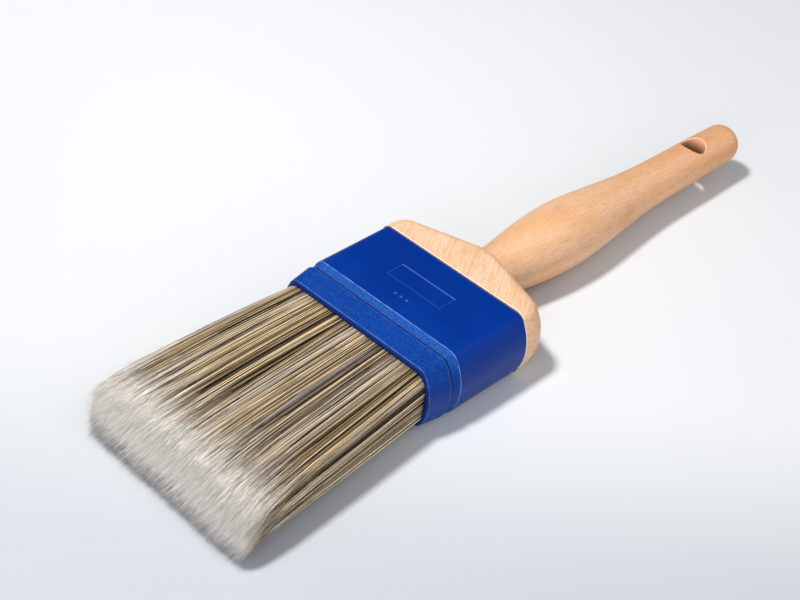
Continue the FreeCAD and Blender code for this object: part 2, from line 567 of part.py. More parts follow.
# ------------------------------------------------------------- bristle roots
# The held part of each row. In front of the lip the roots end in a blunt wedge
# that the flexing part can tilt over.
middle_roots = new_body("bristle_roots_middle")
middle_profile = polygon(middle_roots, "middle_roots_profile", "XZ_Plane", [
    (-size["root_reach"], "-Dim.root_reach", -size["row_inner"], "-Dim.row_inner"),
    (-size["strip_reach"], "-Dim.strip_reach", -size["row_inner"], "-Dim.row_inner"),
    (-size["merge_reach"], "-Dim.merge_reach", -size["row_split"], "-Dim.row_split"),
    (-size["wedge_split"], "-Dim.wedge_split", -size["row_split"], "-Dim.row_split"),
    (-size["wedge_tip"], "-Dim.wedge_tip", -0.01, "-0.01"),
    (-size["wedge_tip"], "-Dim.wedge_tip", 0.01, "0.01"),
    (-size["wedge_split"], "-Dim.wedge_split", size["row_split"], "Dim.row_split"),
    (-size["merge_reach"], "-Dim.merge_reach", size["row_split"], "Dim.row_split"),
    (-size["strip_reach"], "-Dim.strip_reach", size["row_inner"], "Dim.row_inner"),
    (-size["root_reach"], "-Dim.root_reach", size["row_inner"], "Dim.row_inner"),
])
pad(middle_roots, "middle_roots_pad", middle_profile, "Dim.pack_width", midplane=True)
for label, sign in (("bristle_roots_upper", 1), ("bristle_roots_lower", -1)):
    s = "" if sign > 0 else "-"
    roots = new_body(label)
    profile = polygon(roots, label + "_profile", "XZ_Plane", [
        (-size["root_reach"], "-Dim.root_reach", sign * size["strip_outer"], s + "Dim.strip_outer"),
        (-size["strip_reach"], "-Dim.strip_reach", sign * size["strip_outer"], s + "Dim.strip_outer"),
        (-size["merge_reach"], "-Dim.merge_reach", sign * size["row_split"], s + "Dim.row_split"),
        (-size["wedge_split"], "-Dim.wedge_split", sign * size["row_split"], s + "Dim.row_split"),
        (-size["wedge_outer"], "-Dim.wedge_outer", sign * size["pack_half"], s + "Dim.pack_half"),
        (-size["root_reach"], "-Dim.root_reach", sign * size["pack_half"], s + "Dim.pack_half"),
    ])
    solid = pad(roots, label + "_pad", profile, "Dim.pack_width", midplane=True)
    long_edges = edges_where(solid, lambda e: near(abs(e.BoundBox.Center.y), size["pack_width"] / 2)
                             and near(e.BoundBox.Center.z, sign * size["pack_half"]) and e.BoundBox.XLength > 5)
    dress(roots, "Fillet", label + "_corners", solid, long_edges, "Radius", "Dim.pack_corner")

# ------------------------------------------------------------- bristle rows
# The flexing part of each row: it fans out towards the tips and thins down.


def row_section(body, name, offset, width, low, high, corner, side):
    """A row's section. side +1 rounds its two upper corners, -1 the lower ones, 0 none."""
    a = eval_half(width)
    z0, z1 = low[0], high[0]
    sketch = new_sketch(body, name, "YZ_Plane", offset)
    if side == 0:
        pts = [(-a, z0), (a, z0), (a, z1), (-a, z1)]
        for k in range(4):
            p, q = pts[k], pts[(k + 1) % 4]
            sketch.addGeometry(Part.LineSegment(V(p[0], p[1], 0), V(q[0], q[1], 0)), False)
        for k in range(4):
            sketch.addConstraint(C("Coincident", k, 2, (k + 1) % 4, 1))
        binds = [(-1, low[1]), (1, low[1]), (1, high[1]), (-1, high[1])]
        for k, (sx, ez) in enumerate(binds):
            i = sketch.addConstraint(C("DistanceX", -1, 1, k, 1, pts[k][0]))
            name_and_bind(sketch, i, "x%d" % k, ("-" if sx < 0 else "") + "Dim." + width + " / 2")
            i = sketch.addConstraint(C("DistanceY", -1, 1, k, 1, pts[k][1]))
            name_and_bind(sketch, i, "y%d" % k, ez)
        return sketch
    flat, edge = (low, high) if side > 0 else (high, low)
    zf, ze = flat[0], edge[0]
    r = size[corner]
    q = 1.5707963267948966
    sketch.addGeometry(Part.LineSegment(V(-a, zf, 0), V(a, zf, 0)), False)                          # 0 flat side
    sketch.addGeometry(Part.LineSegment(V(a, zf, 0), V(a, ze - side * r, 0)), False)                # 1
    sketch.addGeometry(Part.LineSegment(V(a - r, ze, 0), V(-a + r, ze, 0)), False)                  # 2 outer side
    sketch.addGeometry(Part.LineSegment(V(-a, ze - side * r, 0), V(-a, zf, 0)), False)              # 3
    if side > 0:
        sketch.addGeometry(Part.ArcOfCircle(Part.Circle(V(a - r, ze - r, 0), V(0, 0, 1), r), 0, q), False)           # 4
        sketch.addGeometry(Part.ArcOfCircle(Part.Circle(V(-a + r, ze - r, 0), V(0, 0, 1), r), q, 2 * q), False)      # 5
        ends = ((1, 2, 4, 1), (2, 1, 4, 2), (2, 2, 5, 1), (3, 1, 5, 2))
    else:
        sketch.addGeometry(Part.ArcOfCircle(Part.Circle(V(a - r, ze + r, 0), V(0, 0, 1), r), 3 * q, 4 * q), False)   # 4
        sketch.addGeometry(Part.ArcOfCircle(Part.Circle(V(-a + r, ze + r, 0), V(0, 0, 1), r), 2 * q, 3 * q), False)  # 5
        ends = ((1, 2, 4, 2), (2, 1, 4, 1), (2, 2, 5, 2), (3, 1, 5, 1))
    sketch.addConstraint(C("Coincident", 0, 2, 1, 1))
    sketch.addConstraint(C("Coincident", 3, 2, 0, 1))
    for e in ends:
        sketch.addConstraint(C("Tangent", *e))
    sketch.addConstraint(C("Equal", 4, 5))
    sketch.addConstraint(C("Horizontal", 2))
    i = sketch.addConstraint(C("DistanceX", -1, 1, 0, 2, a))
    name_and_bind(sketch, i, "xr", "Dim." + width + " / 2")
    i = sketch.addConstraint(C("DistanceX", -1, 1, 0, 1, -a))
    name_and_bind(sketch, i, "xl", "-Dim." + width + " / 2")
    i = sketch.addConstraint(C("DistanceY", -1, 1, 0, 2, zf))
    name_and_bind(sketch, i, "yr", flat[1])
    i = sketch.addConstraint(C("DistanceY", -1, 1, 0, 1, zf))
    name_and_bind(sketch, i, "yl", flat[1])
    sketch.addConstraint(C("Vertical", 1))
    sketch.addConstraint(C("Vertical", 3))
    i = sketch.addConstraint(C("DistanceY", -1, 1, 2, 1, ze))
    name_and_bind(sketch, i, "ye", edge[1])
    i = sketch.addConstraint(C("Radius", 4, r))
    name_and_bind(sketch, i, "corner", "Dim." + corner)
    return sketch


def eval_half(width):
    return size[width] / 2


S = size
ROWS = [
    ("bristle_row_upper", 1, (S["row_split"], "Dim.row_split"), (S["pack_half"], "Dim.pack_half"),
     (S["tip_split_up"], "Dim.tip_split_up"), (S["tip_upper"], "Dim.tip_upper")),
    ("bristle_row_middle", 0, (-S["row_split"], "-Dim.row_split"), (S["row_split"], "Dim.row_split"),
     (-S["tip_split_low"], "-Dim.tip_split_low"), (S["tip_split_up"], "Dim.tip_split_up")),
    ("bristle_row_lower", -1, (-S["pack_half"], "-Dim.pack_half"), (-S["row_split"], "-Dim.row_split"),
     (-S["tip_lower"], "-Dim.tip_lower"), (-S["tip_split_low"], "-Dim.tip_split_low")),
]
for label, side, base_low, base_high, tip_low, tip_high in ROWS:
    row_body = new_body(label)
    base = row_section(row_body, label + "_base", "-Dim.bend_reach", "pack_width", base_low, base_high, "pack_corner", side)
    tips = row_section(row_body, label + "_tips", "-Dim.tip_reach", "tip_width", tip_low, tip_high, "tip_corner", side)
    loft(row_body, label + "_fan", base, [tips], True)

# -------------------------------------------------------------- test and write
doc.recompute()
for obj in doc.Objects:
    bad = [word for word in obj.State if word in ("Invalid", "Error")]
    if bad:
        raise RuntimeError("%s is %s" % (obj.Label, bad))
NODES = ["handle", "shoulder_block", "ferrule", "resin_setting", "spacer_strip_upper", "spacer_strip_lower",
         "bristle_roots_upper", "bristle_roots_middle", "bristle_roots_lower",
         "bristle_row_upper", "bristle_row_middle", "bristle_row_lower"]
os.makedirs("parts", exist_ok=True)
for label in NODES:
    body = doc.getObjectsByLabel(label)[0]
    shape = body.Shape
    if shape.isNull() or not shape.isValid():
        raise RuntimeError(label + " has no valid shape")
    if len(shape.Solids) != 1:
        raise RuntimeError("%s has %d solids" % (label, len(shape.Solids)))
    shape.exportStep("parts/%s.step" % label)
    box = shape.BoundBox
    print("%-24s %8.1f mm3  x %7.2f..%7.2f  y %7.2f..%7.2f  z %6.2f..%6.2f" % (
        label, shape.Volume, box.XMin, box.XMax, box.YMin, box.YMax, box.ZMin, box.ZMax))
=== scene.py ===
import math

import bpy
import numpy as np
from mathutils import Matrix, Vector


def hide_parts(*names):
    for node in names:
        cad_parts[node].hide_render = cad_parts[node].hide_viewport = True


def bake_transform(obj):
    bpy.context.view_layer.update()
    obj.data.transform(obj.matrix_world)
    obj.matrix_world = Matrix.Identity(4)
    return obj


# Looks of a flat wall paint brush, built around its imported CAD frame.
# Lengths below are in millimetres, in the frame's axes, and are turned into metres when a mesh is made.

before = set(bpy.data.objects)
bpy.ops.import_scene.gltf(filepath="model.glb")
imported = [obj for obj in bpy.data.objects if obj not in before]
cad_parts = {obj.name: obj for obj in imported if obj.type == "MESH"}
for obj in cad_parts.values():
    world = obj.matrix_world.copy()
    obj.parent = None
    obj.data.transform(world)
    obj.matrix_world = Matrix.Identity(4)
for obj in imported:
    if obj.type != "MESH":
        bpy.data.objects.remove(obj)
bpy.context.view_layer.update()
MM = 0.001
rng = np.random.default_rng(70)


# ---------------------------------------------------------------- camera, light, floor

def rotation(azimuth, elevation, roll):
    a, e, r = np.radians([azimuth, elevation, roll])
    back = np.array([np.sin(a) * np.cos(e), -np.cos(a) * np.cos(e), np.sin(e)])
    right = np.array([np.cos(a), np.sin(a), 0.0])
    up = np.cross(back, right)
    return np.stack([np.cos(r) * right + np.sin(r) * up, -np.sin(r) * right + np.cos(r) * up, back])


turn = rotation(-49.1767050, 38.4653882, 6.55117669)
centre = turn.T @ np.array([-23.4014728, -0.856555076, 903.183378]) * 0.7 + np.array([-15.7, 0.0, 12.85])
camera_data = bpy.data.cameras.new("camera")
camera_data.sensor_width = 36.0
camera_data.lens = 1870.30639 / 800 * 36
camera_data.clip_start = 0.01
camera_data.clip_end = 60.0
camera = bpy.data.objects.new("camera", camera_data)
placing = Matrix.Identity(4)
for row in range(3):
    for column in range(3):
        placing[row][column] = turn[column][row]
    placing[row][3] = centre[row] * MM
camera.matrix_world = placing
bpy.context.scene.collection.objects.link(camera)
bpy.context.scene.camera = camera

view = bpy.context.scene.view_settings
view.view_transform = "Standard"
view.look = "None"
view.exposure = 0.0
view.gamma = 1.0

# The room is pale all round, but dark above the far side of the table.
world = bpy.data.worlds.new("studio")
bpy.context.scene.world = world
world.use_nodes = True
sky = world.node_tree
backdrop = sky.nodes["Background"]
where = sky.nodes.new("ShaderNodeTexCoord")
far_side = sky.nodes.new("ShaderNodeVectorMath")
far_side.operation = "DOT_PRODUCT"
far_side.inputs[1].default_value = (0.63, 0.49, 0.60)
dim = sky.nodes.new("ShaderNodeMapRange")
dim.interpolation_type = "SMOOTHSTEP"
dim.inputs["From Min"].default_value = 0.45
dim.inputs["From Max"].default_value = 0.90
dim.inputs["To Min"].default_value = 0.52
dim.inputs["To Max"].default_value = 0.05
sky.links.new(where.outputs["Generated"], far_side.inputs[0])
sky.links.new(far_side.outputs["Value"], dim.inputs["Value"])
sky.links.new(dim.outputs["Result"], backdrop.inputs["Strength"])
backdrop.inputs["Color"].default_value = (0.93, 0.95, 1.0, 1)


def sun(name, travel, strength, angle, colour):
    data = bpy.data.lights.new(name, "SUN")
    data.energy = strength
    data.angle = math.radians(angle)
    data.color = colour
    o = bpy.data.objects.new(name, data)
    o.rotation_euler = Vector(travel).to_track_quat("-Z", "Y").to_euler()
    bpy.context.scene.collection.objects.link(o)
    return o


def lamp(name, place, aim, power, across, colour):
    """A round soft lamp, in metres and watts."""
    data = bpy.data.lights.new(name, "AREA")
    data.shape = "DISK"
    data.size = across
    data.energy = power
    data.color = colour
    o = bpy.data.objects.new(name, data)
    o.location = place
    o.rotation_euler = (Vector(aim) - Vector(place)).to_track_quat("-Z", "Y").to_euler()
    bpy.context.scene.collection.objects.link(o)
    return o


lamp("key_light", (-0.252, 0.190, 0.784), (-0.03, 0.0, 0.0), 7.2, 0.13, (1.0, 0.985, 0.96))
sun("side_light", (-0.55, 0.75, -1.15), 0.19, 16.0, (0.96, 0.98, 1.0))
sun("low_front", (0.90, 0.44, -0.19), 1.75, 50.0, (1.0, 0.98, 0.95))
sun("low_side", (0.10, 0.95, -0.14), 0.42, 55.0, (1.0, 0.95, 0.92))


# ---------------------------------------------------------------- node materials

class Paint:
    """A procedural material, with short names for the nodes it is made of."""

    def __init__(self, name):
        self.material = bpy.data.materials.new(name)
        self.material.use_nodes = True
        self.tree = self.material.node_tree
        self.tree.nodes.clear()
        out = self.tree.nodes.new("ShaderNodeOutputMaterial")
        self.shader = self.tree.nodes.new("ShaderNodeBsdfPrincipled")
        self.tree.links.new(self.shader.outputs[0], out.inputs["Surface"])
        place = self.tree.nodes.new("ShaderNodeTexCoord")
        self.place = place.outputs["Object"]

    def give(self, socket, value):
        if isinstance(value, bpy.types.NodeSocket):
            self.tree.links.new(value, socket)
        elif value is not None:
            socket.default_value = value

    def scaled(self, x, y, z, source=None, turned=(0, 0, 0), shift=(0, 0, 0)):
        n = self.tree.nodes.new("ShaderNodeMapping")
        self.tree.links.new(source or self.place, n.inputs["Vector"])
        n.inputs["Scale"].default_value = (x, y, z)
        n.inputs["Rotation"].default_value = turned
        n.inputs["Location"].default_value = shift
        return n.outputs[0]

    def noise(self, where, scale=1.0, detail=2.0, roughness=0.5, distortion=0.0):
        n = self.tree.nodes.new("ShaderNodeTexNoise")
        self.give(n.inputs["Vector"], where)
        n.inputs["Scale"].default_value = scale
        n.inputs["Detail"].default_value = detail
        n.inputs["Roughness"].default_value = roughness
        n.inputs["Distortion"].default_value = distortion
        return n.outputs["Fac"]

    def cells(self, where, scale=1.0, feature="F1", output="Distance", randomness=1.0):
        n = self.tree.nodes.new("ShaderNodeTexVoronoi")
        n.feature = feature
        self.give(n.inputs["Vector"], where)
        n.inputs["Scale"].default_value = scale
        n.inputs["Randomness"].default_value = randomness
        return n.outputs[output]

    def math(self, kind, a, b=None, c=None, clamp=False):
        n = self.tree.nodes.new("ShaderNodeMath")
        n.operation = kind
        n.use_clamp = clamp
        self.give(n.inputs[0], a)
        self.give(n.inputs[1], b)
        self.give(n.inputs[2], c)
        return n.outputs[0]

    def ramp(self, value, low, high, to_low=0.0, to_high=1.0, smooth=True):
        n = self.tree.nodes.new("ShaderNodeMapRange")
        n.interpolation_type = "SMOOTHSTEP" if smooth else "LINEAR"
        self.give(n.inputs["Value"], value)
        n.inputs["From Min"].default_value = low
        n.inputs["From Max"].default_value = high
        n.inputs["To Min"].default_value = to_low
        n.inputs["To Max"].default_value = to_high
        return n.outputs["Result"]

    def mix(self, share, a, b, kind="MIX"):
        n = self.tree.nodes.new("ShaderNodeMix")
        n.data_type = "RGBA"
        n.blend_type = kind
        self.give(n.inputs[0], share)
        self.give(n.inputs[6], a if isinstance(a, bpy.types.NodeSocket) else (*a, 1))
        self.give(n.inputs[7], b if isinstance(b, bpy.types.NodeSocket) else (*b, 1))
        return n.outputs[2]

    def axes(self):
        n = self.tree.nodes.new("ShaderNodeSeparateXYZ")
        self.tree.links.new(self.place, n.inputs[0])
        return n.outputs[0], n.outputs[1], n.outputs[2]

    def bump(self, height, distance, strength=1.0, under=None):
        n = self.tree.nodes.new("ShaderNodeBump")
        n.inputs["Strength"].default_value = strength
        n.inputs["Distance"].default_value = distance
        self.tree.links.new(height, n.inputs["Height"])
        if under is not None:
            self.tree.links.new(under, n.inputs["Normal"])
        return n.outputs[0]

    def set(self, **values):
        names = {"colour": "Base Color", "roughness": "Roughness", "specular": "Specular IOR Level", "normal": "Normal", "coat": "Coat Weight", "coat_roughness": "Coat Roughness", "sheen": "Sheen Weight", "sheen_roughness": "Sheen Roughness", "ior": "IOR", "metallic": "Metallic"}
        for key, value in values.items():
            if isinstance(value, tuple):
                value = (*value, 1)
            self.give(self.shader.inputs[names[key]], value)
        return self.material


def beech(name, pale, warm, dark, across_turn, ring_pitch, line_pitch, line_share, fleck_size, fleck_strength, seam_at=None, hole_at=None, skew=0.0, seed=0.0):
    """Sanded beech: fine fibre lines along X, soft growth rings, and the short thin flecks of its rays."""
    p = Paint(name)
    x, y, z = p.axes()
    askew = p.scaled(1, 1, 1, turned=(0, 0, skew))
    moved = p.scaled(1, 1, 1, askew, turned=(across_turn, 0, 0), shift=(seed, seed * 0.7, seed * 1.3))
    # growth rings: slightly bent sheets, cut by the turned or shaped surface
    sway = p.noise(p.scaled(9, 34, 34, moved), 1.0, 3.0, 0.55)
    bend = p.math("MULTIPLY", sway, 0.011)
    sheets = p.tree.nodes.new("ShaderNodeSeparateXYZ")
    p.tree.links.new(moved, sheets.inputs[0])
    depth = p.math("ADD", sheets.outputs[2], p.math("MULTIPLY", sheets.outputs[1], 0.22))
    depth = p.math("ADD", depth, p.math("MULTIPLY", sheets.outputs[0], 0.035))
    phase = p.math("MULTIPLY", p.math("ADD", depth, bend), 2 * math.pi / ring_pitch)
    rings = p.math("MULTIPLY_ADD", p.math("SINE", phase), 0.5, 0.5)
    rings = p.math("POWER", rings, 2.0)
    # fibre lines: long thin ones, then short thin ones between them
    lines = p.noise(p.scaled(line_pitch * 0.085, line_pitch, line_pitch, moved), 1.0, 3.0, 0.65, 0.3)
    short = p.noise(p.scaled(line_pitch * 0.33, line_pitch * 2.1, line_pitch * 2.1, moved), 1.0, 2.0, 0.6)
    blotch = p.noise(p.scaled(38, 90, 90, moved), 1.0, 3.0, 0.55)
    patch = p.noise(p.scaled(75, 160, 160, moved), 1.0, 2.0, 0.5)
    colour = p.mix(p.ramp(rings, 0.0, 1.0, 0.0, 0.35), pale, warm)
    colour = p.mix(p.ramp(blotch, 0.46, 0.70, 0.0, 0.80), colour, warm)
    colour = p.mix(p.math("MULTIPLY", p.ramp(lines, 0.46, 0.66), line_share), colour, dark)
    colour = p.mix(p.math("MULTIPLY", p.ramp(short, 0.50, 0.68), line_share * 0.8), colour, dark)
    colour = p.mix(p.ramp(patch, 0.62, 0.76, 0.0, 0.30), colour, (warm[0] * 0.96, warm[1] * 0.80, warm[2] * 0.62))
    # ray flecks: short thin dashes along the fibres
    cell = p.cells(p.scaled(fleck_size[0], fleck_size[1], fleck_size[1], moved), 1.0)
    where = p.noise(p.scaled(90, 260, 260, moved), 1.0, 1.0)
    fleck = p.math("MULTIPLY", p.ramp(cell, 0.34, 0.14), p.ramp(where, 0.42, 0.60))
    colour = p.mix(p.math("MULTIPLY", fleck, fleck_strength), colour, (dark[0] * 0.80, dark[1] * 0.62, dark[2] * 0.50))
    if hole_at is not None:  # darker and warmer towards the end; inside the hanging hole, a painted lit wall high up and painted shade deeper down
        colour = p.mix(p.ramp(x, 0.045, 0.132), colour, p.mix(1.0, colour, (0.925, 0.830, 0.755), "MULTIPLY"))
        from_hole = p.math("SUBTRACT", x, hole_at)
        from_hole = p.math("SQRT", p.math("ADD", p.math("MULTIPLY", from_hole, from_hole), p.math("MULTIPLY", y, y)))
        painted_bore_light_shade = p.ramp(from_hole, 4.95 * MM, 4.65 * MM)
        colour = p.mix(p.math("MULTIPLY", painted_bore_light_shade, 0.88), colour, p.mix(p.ramp(z, 20.0 * MM, 14.2 * MM), (0.800, 0.440, 0.250), (0.150, 0.050, 0.026)))
    if seam_at is not None:  # a painted highlight along the sharp arris, brown specks of old glue, and a thin painted shade in the gap at the joint
        off = p.math("ABSOLUTE", p.math("SUBTRACT", x, seam_at * MM))
        specks = p.ramp(p.noise(p.scaled(1, 1, 1), 900.0, 3.0, 0.7), 0.54, 0.66)
        # painted highlight on the arris next to the joint
        colour = p.mix(p.math("MULTIPLY", p.ramp(off, 0.9 * MM, 0.35 * MM), 0.75), colour, (0.84, 0.78, 0.70))
        colour = p.mix(p.math("MULTIPLY", p.math("MULTIPLY", p.ramp(off, 0.55 * MM, 0.30 * MM), specks), 0.75), colour, (0.30, 0.085, 0.045))
        # painted shade in the thin gap between the wood and the ferrule
        colour = p.mix(p.ramp(off, 0.22 * MM, 0.14 * MM, 0.0, 0.85), colour, (0.10, 0.045, 0.030))
    height = p.math("ADD", p.math("MULTIPLY", short, 0.6), p.math("MULTIPLY", fleck, -0.5))
    normal = p.bump(height, 0.05 * MM, 0.5)
    rough = p.ramp(lines, 0.3, 0.75, 0.46, 0.62)
    return p.set(colour=colour, roughness=rough, specular=0.32, normal=normal)


handle_wood = beech("handle_beech", (0.700, 0.436, 0.267), (0.645, 0.347, 0.166), (0.500, 0.240, 0.115), 0.35, 0.0075, 1500, 0.34, (420, 3000), 0.34, hole_at=0.1179, seed=0.31)
block_wood = beech("block_beech", (0.742, 0.508, 0.340), (0.690, 0.408, 0.238), (0.525, 0.275, 0.148), 1.35, 0.0090, 1150, 0.50, (340, 2400), 0.55, seam_at=-15.7, skew=-0.55, seed=0.77)


def ferrule_plastic():
    """Blue moulding: satin walls, a spark-eroded collar and sloped band; painted highlights on its edges, raised frame
    and dots, painted sheen on the sloped band, painted reflection on its narrow sides and painted shade in its grooves.
    """
    p = Paint("ferrule_blue")
    x, y, z = p.axes()
    along = p.math("MULTIPLY", p.math("ADD", x, 15.7 * MM), -1000.0)  # millimetres from the wide rim
    high = p.math("ABSOLUTE", p.math("SUBTRACT", p.math("MULTIPLY", z, 1000.0), 12.85))   # from the centre plane
    wide = p.math("ABSOLUTE", p.math("MULTIPLY", y, 1000.0))
    grain = p.noise(p.scaled(1, 1, 1), 2350.0, 3.0, 0.70)
    pits = p.cells(p.scaled(1, 1, 1), 3000.0)
    texture = p.math("ADD", p.math("MULTIPLY", grain, 0.80), p.math("MULTIPLY", pits, 0.30))
    flat = p.ramp(high, 6.5, 11.3)                                    # the broad faces and their corners
    collar = p.ramp(along, 35.2, 35.8)
    slope = p.math("MULTIPLY", p.ramp(along, 31.35, 31.7), p.ramp(along, 34.8, 34.3))
    fade = p.ramp(along, 16.0, 31.0, 0.0, 0.22)
    coarse = p.math("MULTIPLY", p.math("MAXIMUM", p.math("MAXIMUM", collar, slope), fade), p.ramp(high, 3.0, 8.0, 0.30, 1.0))
    cloud = p.noise(p.scaled(1, 1, 1), 34.0, 2.0, 0.5)
    deep = p.mix(p.ramp(cloud, 0.35, 0.65), (0.0003, 0.022, 0.200), (0.0003, 0.027, 0.228))
    speckle = p.ramp(texture, 0.50, 0.74)
    colour = p.mix(p.math("MULTIPLY", coarse, p.math("MULTIPLY", speckle, 0.60)), deep, (0.004, 0.118, 0.430))
    colour = p.mix(p.math("MULTIPLY", p.math("MULTIPLY", collar, p.ramp(texture, 0.47, 0.36)), 0.45), colour, (0.0002, 0.012, 0.130))
    # painted sheen: the sloped band is painted pale on the broad faces, where it catches the light, and left dark round
    # the narrow sides
    painted_slope_sheen = p.math("MULTIPLY", p.math("MULTIPLY", slope, flat), p.ramp(texture, 0.44, 0.68, 0.02, 0.44))
    colour = p.mix(painted_slope_sheen, colour, (0.022, 0.135, 0.460))
    # narrow sides: a painted reflection of the pale floor, stronger lower down
    low_side = p.ramp(p.math("MULTIPLY", z, 1000.0), 19.0, 6.0)
    painted_side_reflection = p.math("MULTIPLY", p.math("MULTIPLY", p.ramp(high, 11.5, 9.0), low_side), p.ramp(texture, 0.35, 0.65, 0.04, 0.16))
    colour = p.mix(painted_side_reflection, colour, (0.090, 0.160, 0.270))
    # painted shade in the groove behind the collar and on the lip's front face beside the filaments
    notch_painted_shade = p.math("MULTIPLY", p.ramp(along, 34.2, 34.6), p.ramp(along, 35.7, 35.4))
    colour = p.mix(p.math("MULTIPLY", notch_painted_shade, 0.80), colour, (0.0002, 0.010, 0.090))
    colour = p.mix(p.ramp(along, 44.25, 44.5, 0.0, 0.85), colour, (0.0001, 0.010, 0.095))
    # painted highlights along the edges, broken up by noise
    highlight_breakup = p.ramp(p.noise(p.scaled(1, 1, 1), 380.0, 2.0), 0.34, 0.60, 0.35, 1.0)

    def edge(at, half_width, share):
        return p.ramp(p.math("ABSOLUTE", p.math("SUBTRACT", along, at)), half_width * 0.35, half_width, share, 0.0)

    lines = p.math("MAXIMUM", edge(31.45, 0.22, 0.62), p.math("MAXIMUM", edge(44.20, 0.16, 0.30), edge(35.85, 0.18, 0.22)))
    colour = p.mix(p.math("MULTIPLY", lines, highlight_breakup), colour, (0.22, 0.42, 0.84))
    # painted highlights on the raised frame and dots
    frame_a = p.math("SUBTRACT", p.math("ABSOLUTE", p.math("SUBTRACT", along, 15.1)), 3.69)
    frame_b = p.math("SUBTRACT", wide, 11.99)
    outline = p.math("ABSOLUTE", p.math("MAXIMUM", frame_a, frame_b))
    proud = p.math("SUBTRACT", p.math("SUBTRACT", high, 12.4), p.math("MULTIPLY", along, 0.9 / 2 / 31.5))
    on_top = p.math("MULTIPLY", p.ramp(proud, 0.02, 0.06), p.ramp(z, 13 * MM, 14 * MM))
    frame_painted_highlight = p.math("MULTIPLY", p.math("MULTIPLY", p.ramp(outline, 0.34, 0.20), on_top), p.ramp(along, 11.7, 11.5, 0.06, 0.26))
    dot_zone = p.math("MULTIPLY", p.math("MULTIPLY", p.ramp(p.math("ABSOLUTE", p.math("SUBTRACT", along, 24.4)), 0.9, 0.7), p.ramp(wide, 3.9, 3.6)), on_top)
    colour = p.mix(p.math("MAXIMUM", frame_painted_highlight, p.math("MULTIPLY", dot_zone, 0.16)), colour, (0.24, 0.40, 0.80))
    scratch = p.ramp(p.noise(p.scaled(260, 30, 260, turned=(0, 0, 0.5)), 14.0, 2.0, 0.5), 0.69, 0.80, 0.0, 0.10)
    colour = p.mix(scratch, colour, (0.10, 0.19, 0.60))
    rough = p.math("ADD", p.ramp(coarse, 0.0, 1.0, 0.34, 0.52), p.math("MULTIPLY", cloud, 0.06))
    fine = p.bump(grain, 0.02 * MM, 0.35)
    normal = p.bump(p.math("MULTIPLY", texture, coarse), 0.10 * MM, 0.8, fine)
    return p.set(colour=colour, roughness=rough, specular=0.12, normal=normal)


def resin():
    """Cast resin with the filament roots in it: amber, faintly cloudy."""
    p = Paint("cast_resin")
    cloud = p.noise(p.scaled(1, 1, 1), 140.0, 4.0, 0.6)
    dots = p.cells(p.scaled(300, 3600, 3600), 1.0)
    colour = p.mix(p.ramp(cloud, 0.3, 0.7), (0.30, 0.17, 0.06), (0.46, 0.30, 0.13))
    colour = p.mix(p.ramp(dots, 0.30, 0.12, 0.0, 0.6), colour, (0.12, 0.08, 0.04))
    return p.set(colour=colour, roughness=p.ramp(cloud, 0.3, 0.7, 0.14, 0.30), specular=0.5, normal=p.bump(cloud, 0.1 * MM, 0.4))


def strip_board():
    """Pressed board of the hidden spacer strips."""
    p = Paint("strip_board")
    fibre = p.noise(p.scaled(900, 260, 900), 1.0, 4.0, 0.65)
    colour = p.mix(p.ramp(fibre, 0.35, 0.68), (0.42, 0.29, 0.17), (0.62, 0.47, 0.30))
    return p.set(colour=colour, roughness=p.ramp(fibre, 0.3, 0.7, 0.7, 0.9), specular=0.2, normal=p.bump(fibre, 0.12 * MM, 0.6))


def filament(name, rough_low, rough_high, bump_size):
    """Filaments: each one's own dye is in the attribute tint, and its surface changes a little along its length."""
    p = Paint(name)
    n = p.tree.nodes.new("ShaderNodeAttribute")
    n.attribute_name = "tint"
    change = p.noise(p.scaled(150, 1700, 1700), 1.0, 2.0, 0.6)
    colour = p.mix(p.ramp(change, 0.25, 0.75, 0.0, 1.0), (0.86, 0.85, 0.84), (1.12, 1.12, 1.12))
    colour = p.mix(1.0, n.outputs["Color"], colour, "MULTIPLY")
    rough = p.ramp(change, 0.25, 0.75, rough_low, rough_high)
    return p.set(colour=colour, roughness=rough, specular=0.25, normal=p.bump(change, bump_size * MM, 0.5))


ferrule_blue = ferrule_plastic()
cast_resin = resin()
board = strip_board()
filament_long = filament("filament_tapered", 0.36, 0.55, 0.03)
filament_core = filament("filament_packed", 0.60, 0.80, 0.20)


def dress(node, material):
    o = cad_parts[node]
    o.data.materials.clear()
    o.data.materials.append(material)
    for s in o.material_slots:
        s.link = "OBJECT"
        s.material = material


dress("handle", handle_wood)
dress("shoulder_block", block_wood)
dress("ferrule", ferrule_blue)
dress("resin_setting", cast_resin)
dress("spacer_strip_upper", board)
dress("spacer_strip_lower", board)


# ---------------------------------------------------------------- the filament pack

RIM = -15.7           # X of the ferrule's wide rim
MID = 12.85           # Z of the brush's centre plane
LIP = 45.0            # all reaches are measured from the rim towards the tips
REACH = 126.4


def smooth(t):
    t = np.clip(t, 0, 1)
    return t * t * (3 - 2 * t)


def tip_line(y):
    """How far the tips reach at a place across the brush: a soft arc, shorter at the far corner."""
    known_y = [-42, -39.5, -38.0, -28.0, -11.0, 8.0, 22.0, 28.5, 34.0, 37.5, 42]
    known_s = [124.6, 126.3, 127.2, 127.4, 126.7, 126.3, 126.0, 125.6, 124.8, 123.4, 119]
    return np.interp(y, known_y, known_s)


def set_back(b):
    """The end of the pack slopes: the higher a row lies, the shorter it stops."""
    return 4.0 * np.clip((b + 0.45) / 1.45, 0, 1) ** 1.5


